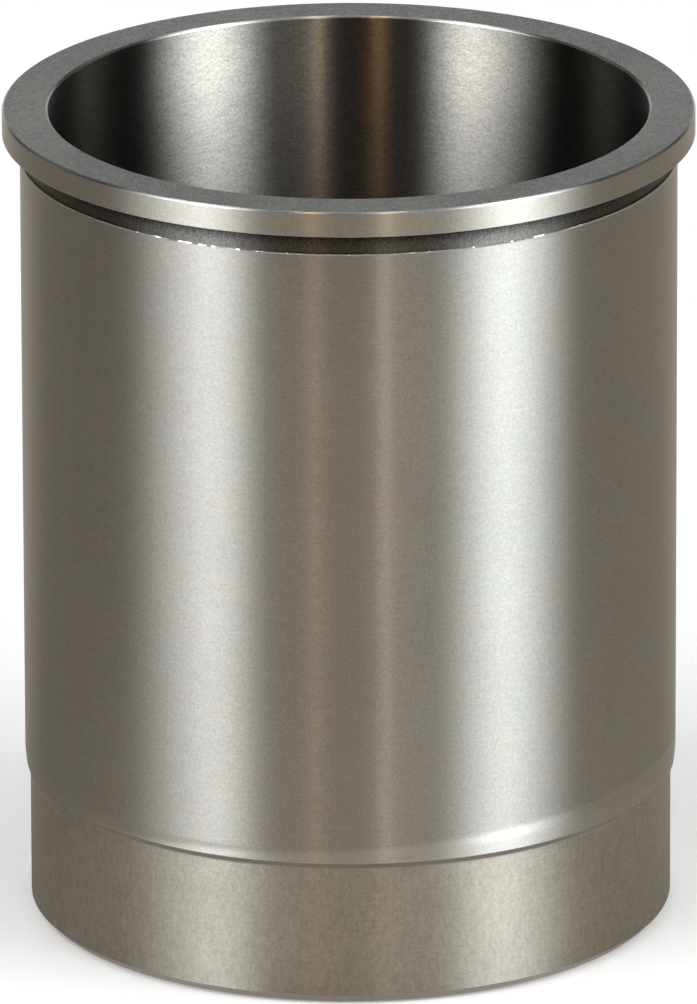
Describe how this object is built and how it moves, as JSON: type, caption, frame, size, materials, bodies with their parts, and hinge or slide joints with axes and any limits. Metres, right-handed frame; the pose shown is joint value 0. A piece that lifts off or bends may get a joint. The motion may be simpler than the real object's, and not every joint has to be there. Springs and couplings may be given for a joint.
{
  "type": "cylinder liner",
  "caption": "Turned iron cylinder liner: a top flange with an undercut relief, a ground body, a stepped lower spigot and a honed bore that a piston slides in.",
  "frame": {"origin": "centre of the liner's foot face, on the bore axis", "axes": "+Z along the bore axis, from the foot up to the flange; X and Y lie in the foot face, and the liner is the same all round"},
  "size_m": [0.1024, 0.1024, 0.1238],
  "materials": {
    "machined_iron": "bare machined grey iron: fine-ground outside, turned spigot and flange, cross-hatch honed bore, matt grooved relief"
  },
  "bodies": {
    "root": {"cylinder_liner": "machined_iron"}
  },
  "joints": []
}
